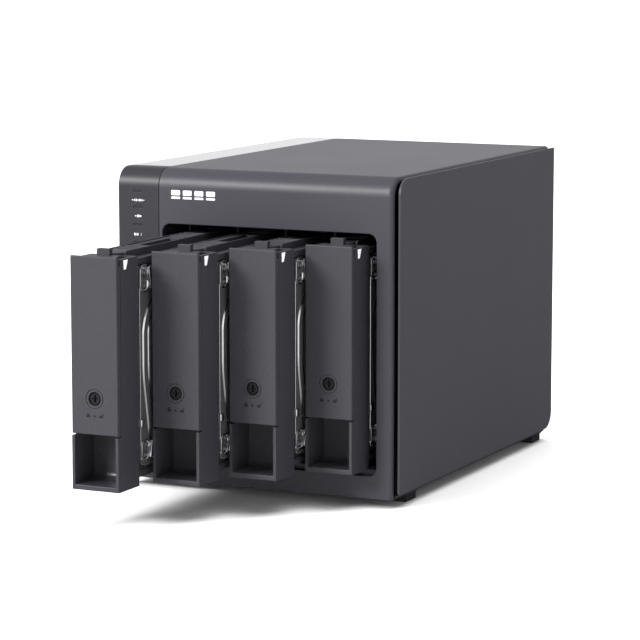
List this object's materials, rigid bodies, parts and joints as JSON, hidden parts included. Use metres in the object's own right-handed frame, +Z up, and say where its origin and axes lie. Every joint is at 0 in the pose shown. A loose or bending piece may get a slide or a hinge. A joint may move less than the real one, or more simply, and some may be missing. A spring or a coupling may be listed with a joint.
{
  "type": "network attached storage",
  "caption": "Black desktop network storage enclosure with vertical lockable drive trays pulled out in steps, a status strip on the left and a fan at the back.",
  "frame": {"origin": "centre of the footprint at the foot bottoms, with the trays at rest", "axes": "+X to the right seen from the front, +Y from the front to the rear, +Z up"},
  "size_m": [0.16, 0.324, 0.1685],
  "materials": {
    "case_black": "fine texture",
    "strip_plastic": "satin",
    "gloss_black": "gloss",
    "tray_plastic": "fine texture",
    "lock_plastic": "matte",
    "steel_dark": "matte",
    "foot_rubber": "matte",
    "screw_steel": "satin",
    "circuit_board": "satin",
    "light_guide": "satin",
    "smoked_lens": "gloss",
    "port_steel": "satin",
    "port_plastic": "satin",
    "switch_red": "satin",
    "slider_white": "satin",
    "fan_plastic": "satin",
    "drive_casting": "cast",
    "drive_cover": "satin"
  },
  "bodies": {
    "chassis": {"main_cover": "case_black", "status_panel": "strip_plastic", "top_strip": "gloss_black", "right_side_panel": "case_black", "left_side_panel": "case_black", "base_pan": "steel_dark", "rear_panel": "case_black", "rear_screws": "screw_steel", "feet": "foot_rubber", "drive_cage": "steel_dark", "bay_rails": "tray_plastic", "backplane": "circuit_board", "main_board": "circuit_board", "light_pipes": "smoked_lens", "usb_c_port": "port_steel", "dc_inlet": "port_plastic", "mode_switch_block": "switch_red", "fan_frame": "fan_plastic"},
    "fan": {"fan_rotor": "fan_plastic"},
    "power_key": {"power_button": "strip_plastic"},
    "set_key": {"set_button": "port_plastic"},
    "mode_1": {"mode_slider_1": "slider_white"},
    "mode_2": {"mode_slider_2": "slider_white"},
    "mode_3": {"mode_slider_3": "slider_white"},
    "tray_1": {"tray_1_carrier": "tray_plastic", "tray_1_light_guide": "light_guide", "tray_1_strips": "tray_plastic", "tray_1_hinge": "screw_steel", "drive_1_casting": "drive_casting", "drive_1_cover": "drive_cover", "drive_1_board": "circuit_board"},
    "lever_1": {"tray_1_lever": "tray_plastic"},
    "lock_1": {"tray_1_lock": "lock_plastic"},
    "tray_2": {"tray_2_carrier": "tray_plastic", "tray_2_light_guide": "light_guide", "tray_2_strips": "tray_plastic", "tray_2_hinge": "screw_steel", "drive_2_casting": "drive_casting", "drive_2_cover": "drive_cover", "drive_2_board": "circuit_board"},
    "lever_2": {"tray_2_lever": "tray_plastic"},
    "lock_2": {"tray_2_lock": "lock_plastic"},
    "tray_3": {"tray_3_carrier": "tray_plastic", "tray_3_light_guide": "light_guide", "tray_3_strips": "tray_plastic", "tray_3_hinge": "screw_steel", "drive_3_casting": "drive_casting", "drive_3_cover": "drive_cover", "drive_3_board": "circuit_board"},
    "lever_3": {"tray_3_lever": "tray_plastic"},
    "lock_3": {"tray_3_lock": "lock_plastic"},
    "tray_4": {"tray_4_carrier": "tray_plastic", "tray_4_light_guide": "light_guide", "tray_4_strips": "tray_plastic", "tray_4_hinge": "screw_steel", "drive_4_casting": "drive_casting", "drive_4_cover": "drive_cover", "drive_4_board": "circuit_board"},
    "lever_4": {"tray_4_lever": "tray_plastic"},
    "lock_4": {"tray_4_lock": "lock_plastic"}
  },
  "joints": [
    {"name": "fan_spin", "type": "hinge", "parent": "chassis", "child": "fan", "pos_m": [0.008, 0.14405, 0.08], "axis": [0, 1, 0], "continuous": true},
    {"name": "power_press", "type": "slide", "parent": "chassis", "child": "power_key", "axis": [0, 1, 0], "range_m": [0, 0.0012], "stiffness_N_per_m": 400, "springref_m": -0.0015},
    {"name": "set_press", "type": "slide", "parent": "chassis", "child": "set_key", "axis": [0, -1, 0], "range_m": [0, 0.0008], "stiffness_N_per_m": 400, "springref_m": -0.001},
    {"name": "mode_1_slide", "type": "slide", "parent": "chassis", "child": "mode_1", "axis": [1, 0, 0], "range_m": [0, 0.0026]},
    {"name": "mode_2_slide", "type": "slide", "parent": "chassis", "child": "mode_2", "axis": [1, 0, 0], "range_m": [0, 0.0026]},
    {"name": "mode_3_slide", "type": "slide", "parent": "chassis", "child": "mode_3", "axis": [1, 0, 0], "range_m": [0, 0.0026]},
    {"name": "tray_1_slide", "type": "slide", "parent": "chassis", "child": "tray_1", "axis": [0, -1, 0], "range_m": [-0.1041, 0.0449]},
    {"name": "lever_1_hinge", "type": "hinge", "parent": "tray_1", "child": "lever_1", "pos_m": [-0.03525, -0.15665, 0.1305], "axis": [-1, 0, 0], "range_deg": [0, 22], "stiffness_Nm_per_rad": 0.03, "springref_deg": -17.19},
    {"name": "lock_1_turn", "type": "hinge", "parent": "lever_1", "child": "lock_1", "pos_m": [-0.03525, -0.16205, 0.0654], "axis": [0, -1, 0], "range_deg": [0, 90]},
    {"name": "tray_2_slide", "type": "slide", "parent": "chassis", "child": "tray_2", "axis": [0, -1, 0], "range_m": [-0.0732, 0.0758]},
    {"name": "lever_2_hinge", "type": "hinge", "parent": "tray_2", "child": "lever_2", "pos_m": [-0.00725, -0.12575, 0.1305], "axis": [-1, 0, 0], "range_deg": [0, 22], "stiffness_Nm_per_rad": 0.03, "springref_deg": -17.19},
    {"name": "lock_2_turn", "type": "hinge", "parent": "lever_2", "child": "lock_2", "pos_m": [-0.00725, -0.13115, 0.0654], "axis": [0, -1, 0], "range_deg": [0, 90]},
    {"name": "tray_3_slide", "type": "slide", "parent": "chassis", "child": "tray_3", "axis": [0, -1, 0], "range_m": [-0.0447, 0.1043]},
    {"name": "lever_3_hinge", "type": "hinge", "parent": "tray_3", "child": "lever_3", "pos_m": [0.02075, -0.09725, 0.1305], "axis": [-1, 0, 0], "range_deg": [0, 22], "stiffness_Nm_per_rad": 0.03, "springref_deg": -17.19},
    {"name": "lock_3_turn", "type": "hinge", "parent": "lever_3", "child": "lock_3", "pos_m": [0.02075, -0.10265, 0.0654], "axis": [0, -1, 0], "range_deg": [0, 90]},
    {"name": "tray_4_slide", "type": "slide", "parent": "chassis", "child": "tray_4", "axis": [0, -1, 0], "range_m": [-0.0155, 0.1335]},
    {"name": "lever_4_hinge", "type": "hinge", "parent": "tray_4", "child": "lever_4", "pos_m": [0.04875, -0.06805, 0.1305], "axis": [-1, 0, 0], "range_deg": [0, 22], "stiffness_Nm_per_rad": 0.03, "springref_deg": -17.19},
    {"name": "lock_4_turn", "type": "hinge", "parent": "lever_4", "child": "lock_4", "pos_m": [0.04875, -0.07345, 0.0654], "axis": [0, -1, 0], "range_deg": [0, 90]}
  ]
}
